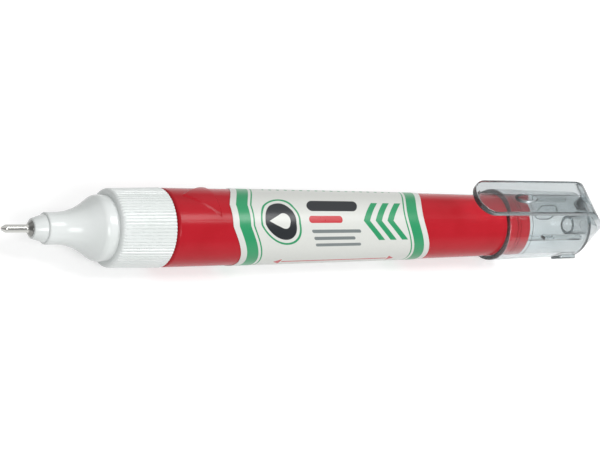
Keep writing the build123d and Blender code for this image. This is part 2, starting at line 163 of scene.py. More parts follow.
class ShaderTree:
    """The node tree of one material or of the world."""

    def __init__(self, tree: bpy.types.NodeTree) -> None:
        """Empty the tree."""
        self.tree = tree
        tree.nodes.clear()

    def node(
        self,
        kind: str,
        settings: dict[str, Any] | None = None,
        values: dict[int | str, Any] | None = None,
        output: int | str = 0,
    ) -> Wire:
        """Add any node.

        Args:
            kind: the node's type.
            settings: its properties, set before its sockets, which some of them change.
            values: numbers, colours or wires by socket name or number.
            output: which output to hand on.

        Returns:
            That output.
        """
        made = self.tree.nodes.new(kind)
        for key, value in (settings or {}).items():
            setattr(made, key, value)
        for key, value in (values or {}).items():
            socket = made.inputs[key]
            if isinstance(value, Wire):
                self.tree.links.new(value.socket, socket)
            elif socket.type == "RGBA" and len(value) == 3:
                socket.default_value = (*value, 1.0)
            else:
                socket.default_value = value
        return Wire(self, made.outputs[output]) if made.outputs else Wire(self, None)

    def surface(self, shader: Wire, volume: Wire | None = None) -> None:
        """Send a shader, and a volume if there is one, to the material's output."""
        values = {"Surface": shader} | ({"Volume": volume} if volume else {})
        self.node("ShaderNodeOutputMaterial", {}, values)

    def position(self) -> Wire:
        """Object coordinates."""
        return self.node("ShaderNodeTexCoord", {}, {}, "Object")

    def split(self, vector: Wire) -> list[Wire]:
        """The three parts of a vector."""
        parts = self.node("ShaderNodeSeparateXYZ", {}, {"Vector": vector}).socket.node.outputs
        return [Wire(self, part) for part in parts]

    def noise(self, where: Wire, scale: float, detail: float) -> Wire:
        """Noise between 0 and 1."""
        return self.node("ShaderNodeTexNoise", {}, {"Vector": where, "Scale": scale, "Detail": detail})

    def streaks(self, stretch: Triple, detail: float) -> Wire:
        """Noise between 0 and 1 with its own scale along each axis."""
        where = self.node("ShaderNodeMapping", {}, {"Vector": self.position(), "Scale": stretch})
        return self.noise(where, 1.0, detail)

    def seen(self) -> Wire:
        """1 for rays that draw the picture: from the camera, mirrored, or passed through the clear cap."""
        path = self.node("ShaderNodeLightPath").socket.node
        kinds = ("Is Camera Ray", "Is Glossy Ray", "Is Transmission Ray")
        camera, glossy, through = (Wire(self, path.outputs[kind]) for kind in kinds)
        return camera | glossy | through

    def between(self, value: Wire, low: float, high: float) -> Wire:
        """0 below one value, 1 above another and smooth in between."""
        values = {"Value": value, "From Min": low, "From Max": high}
        return self.node("ShaderNodeMapRange", {"interpolation_type": "SMOOTHSTEP"}, values)

    def blend(self, factor: Wire | float, first: Wire | Colour, second: Wire | Colour) -> Wire:
        """Mix of two colours."""
        first, second = (x if isinstance(x, Wire) else (*x, 1.0) for x in (first, second))
        return self.node("ShaderNodeMix", {"data_type": "RGBA"}, {0: factor, 6: first, 7: second}, 2)

    def shaded(self, factor: Wire, colour: Colour, share: float) -> Wire:
        """Mix of a colour and a darker one, of which only a share is left."""
        return self.blend(factor, colour, darker(colour, share))

    def bump(self, height: Wire, strength: float, depth: float) -> Wire:
        """Normal bent by a height.

        Args:
            height: the height, about 0 to 1.
            strength: how much of it shows.
            depth: the height's real size in millimetres.

        Returns:
            The normal.
        """
        values = {"Height": height, "Strength": strength, "Distance": depth * MM}
        return self.node("ShaderNodeBump", {}, values)

    def principled(self, **values: Any) -> Wire:
        """Principled shader, its sockets given as words joined by underscores."""
        return self.node(
            "ShaderNodeBsdfPrincipled", {}, {key.replace("_", " "): value for key, value in values.items()}
        )


class Finish:
    """Base of the finishes: makes the material and lets the finish fill its tree."""

    name: str

    def material(self) -> Material:
        """Make the material."""
        made = bpy.data.materials.new(self.name)
        made.use_nodes = True
        self.dress(ShaderTree(made.node_tree))
        return made

    def dress(self, tree: ShaderTree) -> None:
        """Fill the material's tree."""
        raise NotImplementedError


@dataclass(frozen=True)
class MouldedPlastic(Finish):
    """Moulded plastic with a slight mottle, drag marks along the pen and a fine skin."""

    name: str
    colour: Colour
    shade: Colour
    roughness: float
    shine: float
    skin_depth: float
    mottle_scale: float = 120.0
    mottle_from: Span = (0.3, 0.75)
    mottle_dulls: float = 0.08
    drag_stretch: Triple = (60.0, 1600.0, 1600.0)
    drag_from: Span = (0.58, 0.78)
    drag_dulls: float = 0.07
    drag_height: float = 0.6
    skin_scale: float = 2600.0
    skin_strength: float = 0.35

    def dress(self, tree: ShaderTree) -> None:
        """Fill the material's tree."""
        where = tree.position()
        mottle = tree.noise(where, self.mottle_scale, detail=4.0)
        drag = tree.between(tree.streaks(self.drag_stretch, detail=3.0), *self.drag_from)
        skin = tree.noise(where, self.skin_scale, detail=3.0)
        tree.surface(
            tree.principled(
                Base_Color=tree.blend(tree.between(mottle, *self.mottle_from), self.colour, self.shade),
                Roughness=self.roughness + mottle * self.mottle_dulls + drag * self.drag_dulls,
                Specular_IOR_Level=self.shine,
                Normal=tree.bump(skin + drag * self.drag_height, self.skin_strength, self.skin_depth),
            )
        )


@dataclass(frozen=True)
class TurnedMetal(Finish):
    """Metal with fine turning lines round the axis, and painted shade behind a station if one is given."""

    name: str
    colour: Colour
    roughness: float
    line_scale: float
    painted_shade_from: float | None = None
    painted_shade_share: float = 0.4
    painted_shade_blur: float = 0.3
    round_scale: float = 8.0
    line_share: float = 0.86
    line_dulls: float = 0.08
    line_strength: float = 0.4
    line_depth: float = 0.004
    cloud_scale: float = 500.0
    cloud_dulls: float = 0.06

    def dress(self, tree: ShaderTree) -> None:
        """Fill the material's tree, with painted shade behind a station if there is one."""
        lines = tree.streaks((self.line_scale, self.round_scale, self.round_scale), detail=4.0)
        cloud = tree.noise(tree.position(), self.cloud_scale, detail=3.0)
        colour = tree.shaded(lines, self.colour, self.line_share)
        # Painted shade: the flared root behind the given station is darkened.
        if self.painted_shade_from is not None:
            along = tree.split(tree.position())[0]
            root = tree.between(along, self.painted_shade_from * MM, (self.painted_shade_from + self.painted_shade_blur) * MM)
            colour = tree.blend(root, colour, darker(self.colour, self.painted_shade_share))
        tree.surface(
            tree.principled(
                Base_Color=colour,
                Metallic=1.0,
                Roughness=self.roughness + lines * self.line_dulls + cloud * self.cloud_dulls,
                Normal=tree.bump(lines, self.line_strength, self.line_depth),
            )
        )


@dataclass(frozen=True)
class SoftRubber(Finish):
    """Matt pale rubber."""

    name: str
    colour: Colour
    roughness: float = 0.6
    grain_scale: float = 3000.0
    grain_share: float = 0.8
    grain_dulls: float = 0.2
    grain_strength: float = 0.5
    grain_depth: float = 0.02

    def dress(self, tree: ShaderTree) -> None:
        """Fill the material's tree."""
        grain = tree.noise(tree.position(), self.grain_scale, detail=4.0)
        tree.surface(
            tree.principled(
                Base_Color=tree.shaded(grain, self.colour, self.grain_share),
                Roughness=self.roughness + grain * self.grain_dulls,
                Normal=tree.bump(grain, self.grain_strength, self.grain_depth),
            )
        )


@dataclass(frozen=True)
class ClearMoulding(Finish):
    """Clear polystyrene with a faint grey tint, flow lines and light scuffs.

    Its stations and heights are in the frame's millimetres.
    """

    name: str
    axis_height: float
    wall_tint: Colour = (0.93, 0.946, 0.949)
    # The clip and end tints are partly the thicker moulding's own tint and partly painted shade.
    clip_tint_and_painted_shade: Colour = (0.76, 0.79, 0.795)
    end_tint_and_painted_shade: Colour = (0.77, 0.8, 0.805)
    clip_from: float = 18.3
    end_from: float = 61.0
    end_full: float = 71.0
    tube_reach: float = 3.0
    tube_rear: float = 74.0
    blur: float = 0.5
    tube_blur: float = 2.0
    bend: float = 1.45
    body: float = 0.96
    passing: Colour = (0.93, 0.94, 0.94)
    haze: Colour = (0.44, 0.5, 0.52)
    density: float = 220.0
    polish: float = 0.015
    scuff_stretch: Triple = (500.0, 900.0, 900.0)
    scuff_from: Span = (0.62, 0.8)
    scuff_dulls: float = 0.04
    flow_stretch: Triple = (40.0, 160.0, 160.0)
    flow_share: float = 0.97
    flow_strength: float = 0.2
    flow_depth: float = 0.03

    def colour(self, tree: ShaderTree, flow: Wire) -> Wire:
        """Tint of the wall, deeper in the thick clip and closed end, partly as painted shade, and none in the
        thin inner tube.

        Args:
            tree: the material's tree.
            flow: streaks in the moulding.

        Returns:
            The colour.
        """

        def past(value: Wire, place: float, blur: float) -> Wire:
            """0 before a place, 1 a little past it."""
            return tree.between(value, place * MM, (place + blur) * MM)

        along, across, level = tree.split(tree.position())
        height = level - self.axis_height * MM
        reach = (across * across + height * height) ** 0.5
        end = past(along, self.end_from, self.end_full - self.end_from)
        clip = past(level, self.clip_from, self.blur)
        outside = past(reach, self.tube_reach, self.blur)
        behind = past(along, self.tube_rear, self.tube_blur)
        wall = tree.shaded(flow, self.wall_tint, self.flow_share)
        # The clip and the closed end take a deeper tint: partly the thicker moulding's own, partly painted
        # shade.
        thick_tint_and_shade = tree.blend(end, tree.blend(clip, wall, self.clip_tint_and_painted_shade), self.end_tint_and_painted_shade)
        return tree.blend(outside | behind, FULL, thick_tint_and_shade)

    def dress(self, tree: ShaderTree) -> None:
        """Fill the material's tree. Shadow rays pass, as light does through a thin clear wall."""
        scuffs = tree.between(tree.streaks(self.scuff_stretch, detail=5.0), *self.scuff_from)
        flow = tree.streaks(self.flow_stretch, detail=2.0)
        moulding = tree.principled(
            Base_Color=self.colour(tree, flow),
            Roughness=self.polish + scuffs * self.scuff_dulls,
            IOR=self.bend,
            Transmission_Weight=1.0,
            Alpha=self.body,
            Normal=tree.bump(flow, self.flow_strength, self.flow_depth),
        )
        shadow = tree.node("ShaderNodeLightPath", {}, {}, "Is Shadow Ray")
        passing = tree.node("ShaderNodeBsdfTransparent", {}, {"Color": self.passing})
        haze = tree.node("ShaderNodeVolumeAbsorption", {}, {"Color": self.haze, "Density": self.density})
        tree.surface(tree.node("ShaderNodeMixShader", {}, {0: shadow, 1: moulding, 2: passing}), haze)


class Ink(Enum):
    """Printing inks of the label."""

    WHITE = srgb(217, 219, 214)
    GREEN = srgb(40, 148, 98)
    BLACK = srgb(34, 38, 42)
    RED = srgb(190, 32, 44)
    GREY = srgb(120, 128, 128)


@dataclass(frozen=True)
class Bar:
    """Round-ended printed bar: its ink, its middle, half its length and half its width."""

    ink: Ink
    along: float
    around: float
    half_length: float
    half_width: float


@dataclass(frozen=True)
class PrintedFilm(Finish):
    """White wrap film printed with plain bands, bars, chevrons, a drop in a disc, dots and lines.

    Print is laid out in millimetres: along from the film's front edge, and round from the middle of its face.
    """

    BARS: ClassVar[tuple[Bar, ...]] = (
        Bar(Ink.BLACK, 25.6, 4.6, 6.6, 1.3),
        Bar(Ink.RED, 23.4, 1.5, 4.4, 0.75),
        Bar(Ink.GREY, 25.4, -1.0, 6.4, 0.36),
        Bar(Ink.GREY, 24.4, -2.5, 5.4, 0.36),
        Bar(Ink.GREY, 25.0, -4.0, 6.0, 0.36),
        Bar(Ink.RED, 25.0, -9.0, 14.0, 0.22),
    )

    name: str
    length: float
    edge_blur: float = 0.06
    roughness: float = 0.3
    shine: float = 0.4
    grain_scale: float = 1800.0
    grain_share: float = 0.94
    grain_dulls: float = 0.08
    grain_height: float = 0.3
    print_gloss: float = 0.05
    print_strength: float = 0.25
    print_depth: float = 0.01
    band_from_end: float = 2.9
    band_half: float = 1.4
    rule_from_end: float = 5.1
    rule_half: float = 0.18
    disc_along: float = 11.8
    motif_around: float = 1.2
    disc_radius: float = 3.9
    ring_gap: float = 0.9
    ring_half: float = 0.22
    drop_along: float = 12.6
    drop_radius: float = 1.6
    drop_point: float = 3.68
    drop_slope: float = 0.48
    drop_waist: float = 0.672
    chevrons: tuple[float, ...] = (34.2, 37.4, 40.6)
    chevron_slope: float = 0.62
    chevron_half: float = 0.85
    chevron_reach: float = 4.3
    pointer_from_middle: float = 15.2
    pointer_around: float = -9.0
    pointer_half: float = 0.9
    pointer_slope: float = 0.6
    dot_phase: float = 8.0
    dot_gap: float = 1.0
    dot_radius: float = 0.42
    dots_around: float = 10.4
    dots_half: float = 17.0
    line_phase: float = 14.4
    line_gap: float = 0.8
    line_half: float = 0.28
    block_half: float = 16.0
    block_around: float = 18.4
    block_rise: float = 3.4

    def dress(self, tree: ShaderTree) -> None:
        """Fill the material's tree."""
        unrolled = tree.node("ShaderNodeUVMap", {"uv_map": Label.MAP})
        along, around = (part * Label.MAP_SPAN for part in tree.split(unrolled)[:2])
        grain = tree.noise(tree.position(), self.grain_scale, detail=4.0)
        colour = tree.shaded(grain, Ink.WHITE.value, self.grain_share)
        printed: Wire | float = 0.0
        for ink, distance in self.layout(along, around):
            mask = self.mask(tree, distance)
            colour = tree.blend(mask, colour, ink.value)
            printed = mask | printed
        relief = grain * self.grain_height + printed
        tree.surface(
            tree.principled(
                Base_Color=colour,
                Roughness=self.roughness + grain * self.grain_dulls - printed * self.print_gloss,
                Specular_IOR_Level=self.shine,
                Normal=tree.bump(relief, self.print_strength, self.print_depth),
            )
        )

    def mask(self, tree: ShaderTree, distance: Wire) -> Wire:
        """1 inside a shape and 0 outside, from the distance to its edge in millimetres."""
        settings = {"operation": "MULTIPLY_ADD", "use_clamp": True}
        return tree.node("ShaderNodeMath", settings, {0: distance, 1: -1 / self.edge_blur, 2: 0.5})

    def layout(self, along: Wire, around: Wire) -> list[tuple[Ink, Wire]]:
        """The print, from the first ink laid down to the last.

        Args:
            along: distance from the front edge.
            around: distance round the pen from the middle of the face.

        Returns:
            Inks with the distance to the edge of what they print.
        """
        middle = self.length / 2
        off_middle = along - middle
        from_ends = middle - abs(off_middle)
        raised = around - self.motif_around
        disc = self.disc(along - self.disc_along, raised, self.disc_radius)
        shapes = [
            (Ink.GREEN, abs(from_ends - self.band_from_end) - self.band_half),
            (Ink.GREEN, abs(from_ends - self.rule_from_end) - self.rule_half),
            (Ink.GREEN, abs(disc - self.ring_gap) - self.ring_half),
            (Ink.BLACK, disc),
            (Ink.WHITE, self.drop(along - self.drop_along, raised)),
        ]
        for bar in self.BARS:
            shapes.append((bar.ink, self.bar(along - bar.along, around - bar.around, bar)))
        for start in self.chevrons:
            shapes.append((Ink.GREEN, self.chevron(along - start, raised)))
        for side in (-1.0, 1.0):
            outward = off_middle * side - self.pointer_from_middle
            shapes.append((Ink.RED, self.pointer(outward, around - self.pointer_around)))
        dots = self.folded(along - self.dot_phase, self.dot_gap)
        row_of_dots = self.disc(dots, around - self.dots_around, self.dot_radius)
        shapes.append((Ink.GREEN, row_of_dots | (abs(off_middle) - self.dots_half)))
        lines = self.folded(abs(around) - self.line_phase, self.line_gap) - self.line_half
        block = (abs(off_middle) - self.block_half) | (abs(abs(around) - self.block_around) - self.block_rise)
        shapes.append((Ink.GREY, lines | block))
        return shapes

    @staticmethod
    def folded(distance: Wire, gap: float) -> Wire:
        """Distance folded to and fro, so that what is drawn with it repeats."""
        return distance.maths("PINGPONG", distance, gap)

    @staticmethod
    def bar(along: Wire, around: Wire, bar: Bar) -> Wire:
        """Round-ended bar along the pen."""
        past_end = 0.0 | (abs(along) - (bar.half_length - bar.half_width))
        return (past_end * past_end + around * around) ** 0.5 - bar.half_width

    @staticmethod
    def disc(along: Wire, around: Wire, radius: float) -> Wire:
        """Disc."""
        return (along * along + around * around) ** 0.5 - radius

    def chevron(self, along: Wire, around: Wire) -> Wire:
        """Chevron that points to the tip."""
        rise = abs(around)
        return (abs(along - rise * self.chevron_slope) - self.chevron_half) | (rise - self.chevron_reach)

    def pointer(self, along: Wire, around: Wire) -> Wire:
        """Small triangle that points away from the middle."""
        half = self.pointer_half
        return (abs(along) - half) | (abs(around) + (along - half) * self.pointer_slope)

    def drop(self, along: Wire, around: Wire) -> Wire:
        """Drop with its point towards the tip."""
        round_end = self.disc(along, around, self.drop_radius)
        flanks = abs(around) - (along + self.drop_point) * self.drop_slope
        return round_end & (flanks | (along + self.drop_waist))


class Axis:
    """The pen's axis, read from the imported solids, in millimetres."""

    def __init__(self) -> None:
        """Find the axis from the collar, which is round about it."""
        low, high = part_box("collar")
        self.height = (low.z + high.z) / 2 / MM

    def span(self, node: str) -> Span:
        """Front and rear station of a node."""
        low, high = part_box(node)
        return low.x / MM, high.x / MM

    def top(self, node: str) -> float:
        """Height of a node's top over the axis."""
        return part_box(node)[1].z / MM - self.height

    def place(self) -> Matrix:
        """Matrix from millimetres about the axis to the frame."""
        return Matrix.Translation((0, 0, self.height * MM)) @ Matrix.Scale(MM, 4)


@dataclass(frozen=True)
class Corner:
    """Corner of a turned outline: its station, its radius and how far it is rounded."""

    along: float
    radius: float
    rounding: float = 0.0


class Bench:
    """Makes meshes about the pen's axis and hands them over as pieces."""

    MERGE = 1e-4
    ARC_STEP = math.radians(14)
    FEWEST_ARC_STEPS = 3
    SHARP = math.radians(38)
    BROAD_FACES = 100
    BALL_ROUND = 48
    BALL_RISE = 32

    def __init__(self, axis: Axis) -> None:
        """Keep the axis."""
        self.axis = axis

    def turn(self, corners: Sequence[Corner], steps: int, closed: bool = True) -> BMesh:
        """Spin an outline about the axis.

        Args:
            corners: the outline's corners in order.
            steps: faces round the axis.
            closed: whether the last corner joins the first; otherwise both ends lie on the axis.

        Returns:
            The turned mesh.
        """
        mesh = bmesh.new()
        spots = [mesh.verts.new((corner.along, 0, corner.radius)) for corner in corners]
        for first, second in zip(spots, spots[1:] + spots[:1] if closed else spots[1:]):
            mesh.edges.new((first, second))
        rounded = []
        for i, corner in enumerate(corners):
            if corner.rounding:
                back = (spots[i - 1].co - spots[i].co).normalized()
                ahead = (spots[(i + 1) % len(spots)].co - spots[i].co).normalized()
                rounded.append((spots[i], math.pi - back.angle(ahead), corner.rounding))
        for spot, turn, rounding in rounded:
            arc_steps = max(self.FEWEST_ARC_STEPS, round(turn / self.ARC_STEP))
            self.round_off(mesh, [spot], rounding * math.tan(turn / 2), arc_steps, "VERTICES", clamp=False)
        bmesh.ops.spin(
            mesh,
            geom=mesh.verts[:] + mesh.edges[:],
            cent=(0, 0, 0),
            axis=(1, 0, 0),
            angle=2 * math.pi,
            steps=steps,
            use_merge=True,
        )
        self.close(mesh)
        return mesh

    @staticmethod
    def round_off(
        mesh: BMesh, items: list, offset: float, steps: int, affect: str, clamp: bool = True
    ) -> None:
        """Round edges, or corners of a flat outline.

        Args:
            mesh: the mesh that holds them.
            items: the edges or vertices.
            offset: how far from them the rounding starts.
            steps: faces along the rounding.
            affect: EDGES or VERTICES.
            clamp: whether roundings stop where they would overlap.
        """
        bmesh.ops.bevel(
            mesh,
            geom=items,
            offset=offset,
            offset_type="OFFSET",
            segments=steps,
            profile=0.5,
            affect=affect,
            clamp_overlap=clamp,
            material=-1,
        )

    @staticmethod
    def raise_faces(mesh: BMesh, faces: list, step: Triple) -> list:
        """Extrude flat faces into a closed solid.

        Args:
            mesh: the mesh that holds them.
            faces: the faces, which stay as the solid's floor.
            step: how far and which way they are raised.

        Returns:
            The raised faces.
        """
        raised = bmesh.ops.extrude_face_region(mesh, geom=faces, use_keep_orig=True)["geom"]
        corners = [item for item in raised if isinstance(item, bmesh.types.BMVert)]
        bmesh.ops.translate(mesh, vec=step, verts=corners)
        return [item for item in raised if isinstance(item, bmesh.types.BMFace)]

    @staticmethod
    def cut(mesh: BMesh, spot: Triple, facing: Triple) -> None:
        """Cut all faces along a plane."""
        everything = mesh.verts[:] + mesh.edges[:] + mesh.faces[:]
        bmesh.ops.bisect_plane(mesh, geom=everything, plane_co=spot, plane_no=facing)

    @staticmethod
    def block(size: Triple, middle: Triple) -> BMesh:
        """Box of a size about its middle."""
        mesh = bmesh.new()
        bmesh.ops.create_cube(mesh, size=1.0)
        bmesh.ops.scale(mesh, vec=size, verts=mesh.verts)
        bmesh.ops.translate(mesh, vec=middle, verts=mesh.verts)
        return mesh

    def ball(self, half_size: Triple) -> BMesh:
        """Ball or oval about the origin."""
        mesh = bmesh.new()
        bmesh.ops.create_uvsphere(mesh, u_segments=self.BALL_ROUND, v_segments=self.BALL_RISE, radius=1.0)
        bmesh.ops.scale(mesh, vec=half_size, verts=mesh.verts)
        return mesh

    @staticmethod
    def swing(mesh: BMesh, degrees: float, direction: str) -> None:
        """Turn a mesh about X, Y or Z through the origin."""
        matrix = Matrix.Rotation(math.radians(degrees), 3, direction)
        bmesh.ops.rotate(mesh, cent=(0, 0, 0), matrix=matrix, verts=mesh.verts)

    def close(self, mesh: BMesh) -> None:
        """Merge doubles and turn all faces outwards."""
        bmesh.ops.remove_doubles(mesh, verts=mesh.verts, dist=self.MERGE)
        bmesh.ops.dissolve_degenerate(mesh, edges=mesh.edges, dist=self.MERGE)
        bmesh.ops.recalc_face_normals(mesh, faces=mesh.faces)

    def object(self, name: str, mesh: BMesh) -> Object:
        """Place a mesh in the frame as an object with smooth faces and crisp corners."""
        bmesh.ops.transform(mesh, matrix=self.axis.place(), verts=mesh.verts)
        for face in mesh.faces:
            face.smooth = True
        for edge in mesh.edges:
            edge.smooth = edge.calc_face_angle(0.0) < self.SHARP
        data = bpy.data.meshes.new(name)
        mesh.to_mesh(data)
        mesh.free()
        return put(name, data)

    @staticmethod
    def settle(piece: Object) -> None:
        """Keep the shape that a piece's modifiers give it, and remove them."""
        shape = bpy.data.meshes.new_from_object(piece.evaluated_get(bpy.context.evaluated_depsgraph_get()))
        piece.modifiers.clear()
        piece.data = shape
        piece.data.name = piece.name

    def hand_over(
        self,
        piece: Object,
        material: Material,
        body: str,
        slot: str,
        stands_for: Sequence[str] = (),
    ) -> None:
        """Dress a piece and fasten it to its body, its shading evened so that broad faces look flat.

        Args:
            piece: the finished object.
            material: its material.
            body: the body that it rides on.
            slot: the record's material slot; not used.
            stands_for: the solids that it takes the place of.
        """
        evened = piece.modifiers.new("even_shading", "WEIGHTED_NORMAL")
        evened.weight = self.BROAD_FACES
        evened.keep_sharp = True
        self.settle(piece)
        piece.data.materials.clear()
        piece.data.materials.append(material)
        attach(piece, body)
        if stands_for:
            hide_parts(*stands_for)
        LOG.info("%s: %d faces on %s", piece.name, len(piece.data.polygons), body)


@dataclass
class Barrel:
    """Red squeezable tube with its neck, closed tail, parting lines and raised arrow."""

    bench: Bench
    length: float = 95.45
    front_radius: float = 8.1
    tail_radius: float = 6.95
    bulge: float = 0.15
    shoulder_rounding: float = 0.7
    tail_rounding: float = 0.8
    wall: float = 0.95
    neck_radius: float = 7.1
    neck_bore: float = 5.52
    shoulder_wall: float = 1.8
    tail_wall: float = 1.2
    groove_from_end: float = 3.2
    groove_pitch: float = 0.9
    groove_width: float = 0.35
    groove_depth: float = 0.18
    groove_flank: float = 0.05
    groove_edge: float = 0.04
    steps: int = 240
    stations: int = 28
    parting_turn: float = 21.0
    parting_height: float = 0.035
    parting_from_shoulder: float = 1.0
    parting_from_tail: float = 0.6
    parting_skin: float = 0.03
    arrow_from_shoulder: float = 2.5
    arrow_length: float = 7.9
    arrow_width: float = 10.5
    arrow_height: float = 0.3
    arrow_root: float = 0.3
    arrow_edge: float = 0.34
    arrow_turn: float = -21.0
    arrow_cuts: int = 15

    def __post_init__(self) -> None:
        """Find the tail and the shoulder in the frame."""
        self.neck, self.tail = self.bench.axis.span("barrel")
        self.shoulder = self.tail - self.length

    def share(self, along: float) -> float:
        """How far a station is from shoulder to tail."""
        return (along - self.shoulder) / self.length

    def taper(self, along: float) -> float:
        """Radius of the straight taper at a station."""
        return self.front_radius + (self.tail_radius - self.front_radius) * self.share(along)

    def radius(self, along: float) -> float:
        """Outer radius at a station, with the slight swell."""
        u = self.share(along)
        return self.taper(along) + 4 * self.bulge * u * (1 - u)

    def on(self, along: float, height: float = 0.0, rounding: float = 0.0) -> Corner:
        """Corner at a height over the barrel's surface."""
        return Corner(along, self.radius(along) + height, rounding)

    def outline(self) -> list[Corner]:
        """Outline from the end of the cavity, round the neck and along the outside to the tail."""
        deep = self.tail - self.tail_wall
        ceiling = self.shoulder + self.shoulder_wall
        grooves = [self.tail - self.groove_from_end - self.groove_pitch * i for i in (1, 0)]
        run = grooves[0] - self.groove_width - self.groove_pitch - self.shoulder
        corners = [
            Corner(deep, 0),
            Corner(deep, self.taper(deep) - self.wall),
            Corner(ceiling, self.taper(ceiling) - self.wall),
            Corner(ceiling, self.neck_bore),
            Corner(self.neck, self.neck_bore),
            Corner(self.neck, self.neck_radius),
            Corner(self.shoulder, self.neck_radius),
            self.on(self.shoulder, rounding=self.shoulder_rounding),
        ]
        corners += [self.on(self.shoulder + run * i / self.stations) for i in range(1, self.stations + 1)]
        for groove in grooves:
            front = groove - self.groove_width
            corners += [
                self.on(front, rounding=self.groove_edge),
                self.on(front + self.groove_flank, -self.groove_depth),
                self.on(groove - self.groove_flank, -self.groove_depth),
                self.on(groove, rounding=self.groove_edge),
            ]
        corners += [self.on(self.tail, rounding=self.tail_rounding), Corner(self.tail, 0)]
        return corners

    def build(self, material: Material) -> None:
        """Make the barrel and its arrow."""
        mesh = self.bench.turn(self.outline(), self.steps, closed=False)
        self.raise_parting_lines(mesh)
        tube = self.bench.object("barrel_tube", mesh)
        self.bench.hand_over(tube, material, "pen", "barrel_plastic", ["barrel"])
        arrow = self.bench.object("barrel_arrow", self.arrow())
        self.bench.hand_over(arrow, material, "pen", "barrel_plastic")

    def raise_parting_lines(self, mesh: BMesh) -> None:
        """Lift one row of vertices on each side, where the mould's halves met."""
        front = self.shoulder + self.parting_from_shoulder
        rear = self.tail - self.parting_from_tail
        half_step = math.pi / self.steps
        for vertex in mesh.verts:
            along, y, z = vertex.co
            radius = math.hypot(y, z)
            outside = front < along < rear and radius > self.radius(along) - self.parting_skin
            turned = math.atan2(-y, z) - math.radians(self.parting_turn)
            off_line = abs(math.remainder(turned, math.pi))
            if outside and off_line < half_step:
                vertex.co.yz *= 1 + self.parting_height / radius

    def arrow(self) -> BMesh:
        """Raised triangle that points to the tip, wrapped round the barrel."""
        mesh = bmesh.new()
        tip = self.shoulder + self.arrow_from_shoulder
        base = tip + self.arrow_length
        half = self.arrow_width / 2
        plan = [(tip, 0), (base, -half), (base, half)]
        face = mesh.faces.new([mesh.verts.new((x, y, -self.arrow_root)) for x, y in plan])
        top = self.bench.raise_faces(mesh, [face], (0, 0, self.arrow_root))
        bmesh.ops.inset_region(
            mesh,
            faces=top,
            thickness=self.arrow_edge,
            depth=self.arrow_height,
            use_even_offset=True,
        )
        bmesh.ops.recalc_face_normals(mesh, faces=mesh.faces)
        across = (base - tip) / self.arrow_cuts
        for i in range(1, self.arrow_cuts):
            self.bench.cut(mesh, (tip + across * i, 0, 0), (1, 0, 0))
        for i in range(1 - self.arrow_cuts, self.arrow_cuts):
            self.bench.cut(mesh, (0, half * i / self.arrow_cuts, 0), (0, 1, 0))
        self.bench.close(mesh)
        turn = math.radians(self.arrow_turn)
        for vertex in mesh.verts:
            along, side, height = vertex.co
            angle = turn + math.asin(side / self.front_radius)
            radius = self.radius(along) + height
            vertex.co = (along, -radius * math.sin(angle), radius * math.cos(angle))
        bmesh.ops.recalc_face_normals(mesh, faces=mesh.faces)
        return mesh


@dataclass
class Label:
    """Printed film round the barrel, whose two ends follow the same wave."""

    MAP: ClassVar[str] = "unrolled"
    MAP_SPAN: ClassVar[float] = 100.0

    bench: Bench
    barrel: Barrel
    from_shoulder: float = 14.85
    length: float = 50.0
    wave: float = 2.0
    wave_turn: float = 15.0
    film: float = 0.09
    gap: float = 0.02
    face_turn: float = 33.0
    steps: int = 240
    stations: int = 40

    def shift(self, y: float, z: float) -> float:
        """Move of the film's ends along the pen at a place round it: an arc as seen from the side."""
        turn = math.radians(self.wave_turn)
        rise = z * math.cos(turn) - y * math.sin(turn)
        half = self.barrel.radius(self.barrel.shoulder + self.from_shoulder + self.length / 2)
        arc = (half**2 + (2 * self.wave) ** 2) / (4 * self.wave)
        return self.wave - arc + math.sqrt(arc**2 - min(abs(rise), half) ** 2)

    def build(self, material: Material) -> None:
        """Make the film."""
        front = self.barrel.shoulder + self.from_shoulder
        stations = [front + self.length * i / self.stations for i in range(self.stations + 1)]
        over = [self.barrel.on(station, self.gap + self.film) for station in stations]
        under = [self.barrel.on(station, self.gap) for station in reversed(stations)]
        mesh = self.bench.turn(over + under, self.steps)
        unrolled = mesh.loops.layers.uv.new(self.MAP)
        face_turn = math.radians(self.face_turn)
        girth = self.barrel.radius(front + self.length / 2)
        for face in mesh.faces:
            centre = face.calc_center_median()
            middle = math.remainder(math.atan2(-centre.y, centre.z) - face_turn, 2 * math.pi)
            for loop in face.loops:
                along, y, z = loop.vert.co
                turned = math.atan2(-y, z) - face_turn
                angle = middle + math.remainder(turned - middle, 2 * math.pi)
                place = Vector((along - front, -angle * girth))
                loop[unrolled].uv = place / self.MAP_SPAN
        for vertex in mesh.verts:
            along, y, z = vertex.co
            height = math.hypot(y, z) - self.barrel.radius(along)
            moved = along + self.shift(y, z)
            scale = (self.barrel.radius(moved) + height) / math.hypot(y, z)
            vertex.co = (moved, y * scale, z * scale)
        film = self.bench.object("label_film", mesh)
        self.bench.hand_over(film, material, "pen", "label_film", ["label"])


